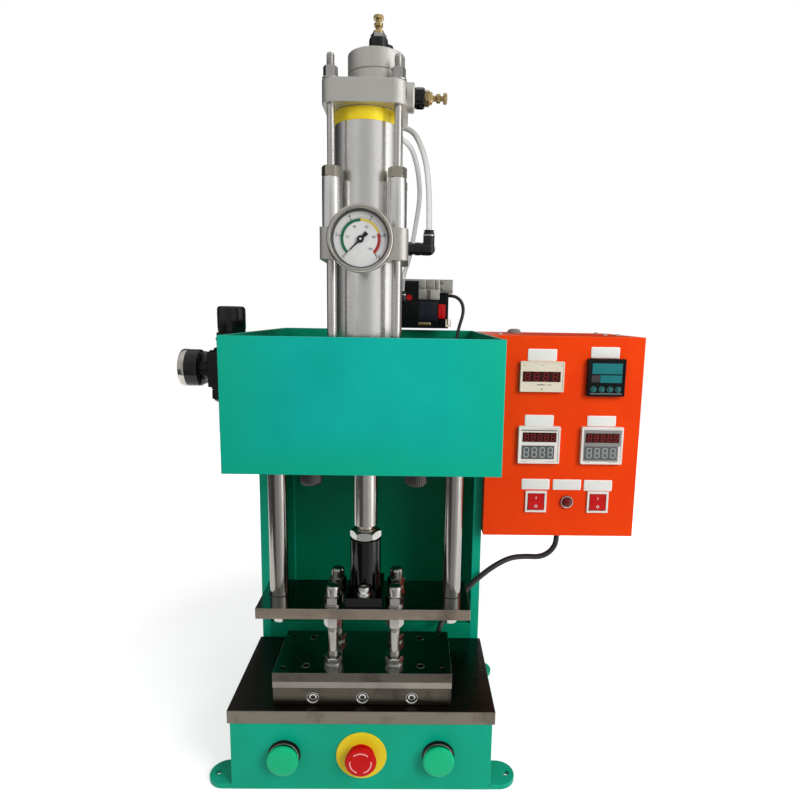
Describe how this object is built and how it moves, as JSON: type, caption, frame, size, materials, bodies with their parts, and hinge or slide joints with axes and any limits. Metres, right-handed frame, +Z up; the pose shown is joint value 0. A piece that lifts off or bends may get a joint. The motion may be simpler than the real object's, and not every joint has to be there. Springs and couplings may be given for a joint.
{
  "type": "leather embossing machine",
  "caption": "Bench-top pneumatic embossing press: guided heated die block over a steel bed, driven by a tall tie-rod air cylinder, with push buttons and a side control box.",
  "frame": {"origin": "centre of the four foot bolt holes, on the plane the machine stands on", "axes": "+Z up along the ram, +X to the operator's right, -Y towards the operator"},
  "size_m": [0.592, 0.375, 0.8542],
  "materials": {
    "green_paint": "satin paint",
    "orange_paint": "satin powder coat",
    "bed_steel": "ground",
    "ground_steel": "polished",
    "zinc_steel": "bright zinc",
    "black_oxide": "black oxide",
    "cast_aluminium": "fine bead blasted",
    "barrel_aluminium": "satin anodised",
    "gauge_chrome": "polished",
    "white_dial": "printed dial",
    "black_plastic": "satin",
    "grey_plastic": "satin",
    "cream_plastic": "satin",
    "red_plastic": "glossy",
    "green_plastic": "satin",
    "clear_hose": "clear polyurethane",
    "cord_rubber": "matt",
    "brass_screw": "turned and knurled",
    "insulation": "pressed board"
  },
  "bodies": {
    "frame": {"air_fittings": "black_plastic", "air_tube_front": "clear_hose", "air_tube_rear": "clear_hose", "base_box": "green_paint", "bed_plate": "bed_steel", "bottom_cover": "green_paint", "button_bases": "black_plastic", "cable_glands": "black_plastic", "column": "green_paint", "control_box": "orange_paint", "control_box_lid": "orange_paint", "counter_and_timers": "cream_plastic", "cylinder_base_flange": "cast_aluminium", "cylinder_fasteners": "black_oxide", "gauge_case": "gauge_chrome", "gauge_dial": "white_dial", "guide_bushes": "bed_steel", "head_floor_plate": "green_paint", "head_walls": "green_paint", "heater_cable": "cord_rubber", "lower_barrel": "barrel_aluminium", "middle_flange": "cast_aluminium", "mounting_lugs": "green_paint", "panel_fittings": "red_plastic", "regulator_body": "black_plastic", "regulator_gauge": "black_plastic", "relay_and_terminals": "black_plastic", "temperature_controller": "black_plastic", "tie_rods": "ground_steel", "top_cap": "cast_aluminium", "top_flange": "cast_aluminium", "upper_barrel": "barrel_aluminium", "valve_blocks": "cast_aluminium", "valve_body": "black_plastic", "valve_lead": "cord_rubber"},
    "ram": {"ram_rod": "ground_steel", "ram_coupling": "black_oxide", "moving_plate": "bed_steel", "guide_posts": "ground_steel", "die_studs": "zinc_steel", "plate_screws": "zinc_steel", "die_top_plate": "bed_steel", "insulation_plate": "insulation", "heater_block": "bed_steel", "cartridge_heaters": "zinc_steel"},
    "gauge_needle": {"gauge_needle": "black_plastic"},
    "regulator_needle": {"regulator_needle": "black_plastic"},
    "regulator_knob": {"regulator_knob": "black_plastic"},
    "throttle_screw_top": {"throttle_screw_top": "brass_screw"},
    "throttle_screw_side": {"throttle_screw_side": "brass_screw"},
    "rocker_left": {"rocker_left": "red_plastic"},
    "rocker_right": {"rocker_right": "red_plastic"},
    "button_left": {"button_left": "green_plastic"},
    "button_right": {"button_right": "green_plastic"},
    "estop_head": {"estop_head": "red_plastic"},
    "booster_piston": {"booster_piston": "ground_steel"},
    "controller_key_1": {"controller_key_1": "grey_plastic"},
    "controller_key_2": {"controller_key_2": "grey_plastic"},
    "controller_key_3": {"controller_key_3": "grey_plastic"},
    "controller_key_4": {"controller_key_4": "grey_plastic"}
  },
  "joints": [
    {"name": "ram_slide", "type": "slide", "parent": "frame", "child": "ram", "axis": [0, 0, 1], "range_m": [0, 0.075], "deforming": ["heater_cable"]},
    {"name": "booster_slide", "type": "slide", "parent": "frame", "child": "booster_piston", "axis": [0, 0, 1], "range_m": [0, 0.06]},
    {"name": "gauge_needle_turn", "type": "hinge", "parent": "frame", "child": "gauge_needle", "pos_m": [0, -0.15, 0.61875], "axis": [0, 1, 0], "range_deg": [0, 270], "stiffness_Nm_per_rad": 0.0002},
    {"name": "regulator_needle_turn", "type": "hinge", "parent": "frame", "child": "regulator_needle", "pos_m": [-0.237, 0.026, 0.475], "axis": [1, 0, 0], "range_deg": [0, 270], "stiffness_Nm_per_rad": 0.0001},
    {"name": "regulator_knob_turn", "type": "hinge", "parent": "frame", "child": "regulator_knob", "pos_m": [-0.1785, 0.026, 0.475], "axis": [0, 0, -1], "range_deg": [-720, 720]},
    {"name": "throttle_screw_top_turn", "type": "hinge", "parent": "frame", "child": "throttle_screw_top", "pos_m": [0.012, -0.07, 0.8135], "axis": [0, 0, -1], "range_deg": [-720, 720]},
    {"name": "throttle_screw_side_turn", "type": "hinge", "parent": "frame", "child": "throttle_screw_side", "pos_m": [0.0435, -0.091, 0.7675], "axis": [1, 0, 0], "range_deg": [-720, 720]},
    {"name": "rocker_left_turn", "type": "hinge", "parent": "frame", "child": "rocker_left", "pos_m": [0.2185, 0.014, 0.3055], "axis": [1, 0, 0], "range_deg": [0, 10]},
    {"name": "rocker_right_turn", "type": "hinge", "parent": "frame", "child": "rocker_right", "pos_m": [0.3005, 0.014, 0.3055], "axis": [1, 0, 0], "range_deg": [0, 10]},
    {"name": "button_left_push", "type": "slide", "parent": "frame", "child": "button_left", "axis": [0, 1, 0], "range_m": [0, 0.0035], "stiffness_N_per_m": 600},
    {"name": "button_right_push", "type": "slide", "parent": "frame", "child": "button_right", "axis": [0, 1, 0], "range_m": [0, 0.0035], "stiffness_N_per_m": 600},
    {"name": "estop_push", "type": "slide", "parent": "frame", "child": "estop_head", "axis": [0, 1, 0], "range_m": [0, 0.0035]},
    {"name": "controller_key_1_push", "type": "slide", "parent": "frame", "child": "controller_key_1", "axis": [0, 1, 0], "range_m": [0, 0.0005], "stiffness_N_per_m": 300},
    {"name": "controller_key_2_push", "type": "slide", "parent": "frame", "child": "controller_key_2", "axis": [0, 1, 0], "range_m": [0, 0.0005], "stiffness_N_per_m": 300},
    {"name": "controller_key_3_push", "type": "slide", "parent": "frame", "child": "controller_key_3", "axis": [0, 1, 0], "range_m": [0, 0.0005], "stiffness_N_per_m": 300},
    {"name": "controller_key_4_push", "type": "slide", "parent": "frame", "child": "controller_key_4", "axis": [0, 1, 0], "range_m": [0, 0.0005], "stiffness_N_per_m": 300}
  ]
}
